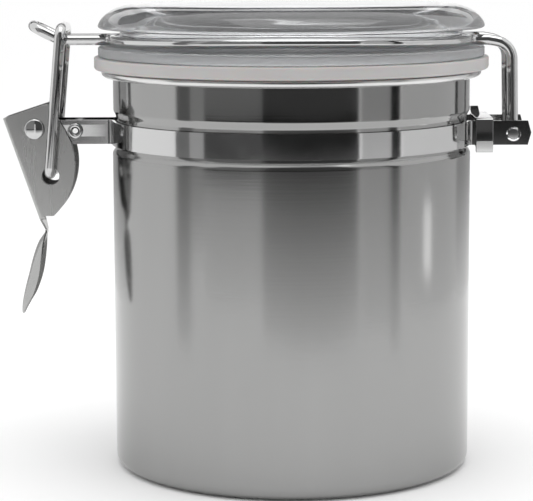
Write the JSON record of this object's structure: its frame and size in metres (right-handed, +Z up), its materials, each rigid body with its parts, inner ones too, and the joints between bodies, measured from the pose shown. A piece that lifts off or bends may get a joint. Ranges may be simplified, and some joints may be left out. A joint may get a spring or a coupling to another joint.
{
  "type": "food canister",
  "caption": "Clip-top stainless food canister with a clear lid on a silicone ring, held by a wire hinge and an over-centre wire latch.",
  "frame": {"origin": "centre of the flat base that the can stands on", "axes": "+Z up along the can's axis, +X towards the wire hinge and -X towards the latch, -Y the front"},
  "size_m": [0.175, 0.1312, 0.155],
  "materials": {
    "satin_stainless": "fine vertical satin over a polished drawn wall",
    "bright_steel": "bright polished",
    "clear_acrylic": "clear, glossy, slightly grey",
    "milky_silicone": "translucent, satin"
  },
  "bodies": {
    "canister": {"canister_body": "satin_stainless", "band_front": "bright_steel", "band_rear": "bright_steel", "hinge_clip": "bright_steel", "clamp_rivet": "bright_steel", "clamp_spacer": "bright_steel", "lever_rivet": "bright_steel"},
    "lid_frame": {"lid_wire": "bright_steel", "lid": "clear_acrylic", "lid_gasket": "milky_silicone"},
    "latch_lever": {"lever": "bright_steel"},
    "latch_bail": {"latch_loop": "bright_steel"}
  },
  "joints": [
    {"name": "lid_hinge", "type": "hinge", "parent": "canister", "child": "lid_frame", "pos_m": [0.0732, 0, 0.1117], "axis": [0, 1, 0], "range_deg": [0, 200]},
    {"name": "lever_pivot", "type": "hinge", "parent": "canister", "child": "latch_lever", "pos_m": [-0.0854, 0, 0.1132], "axis": [0, 1, 0], "range_deg": [0, 135], "deforming": ["latch_loop"]},
    {"name": "loop_swing", "type": "hinge", "parent": "latch_lever", "child": "latch_bail", "pos_m": [-0.08035, 0, 0.09845], "axis": [0, 1, 0], "range_deg": [-170, 0]}
  ],
  "couplings": [
    {"joint": "loop_swing", "follows": "lever_pivot", "ratio": -1.25}
  ]
}
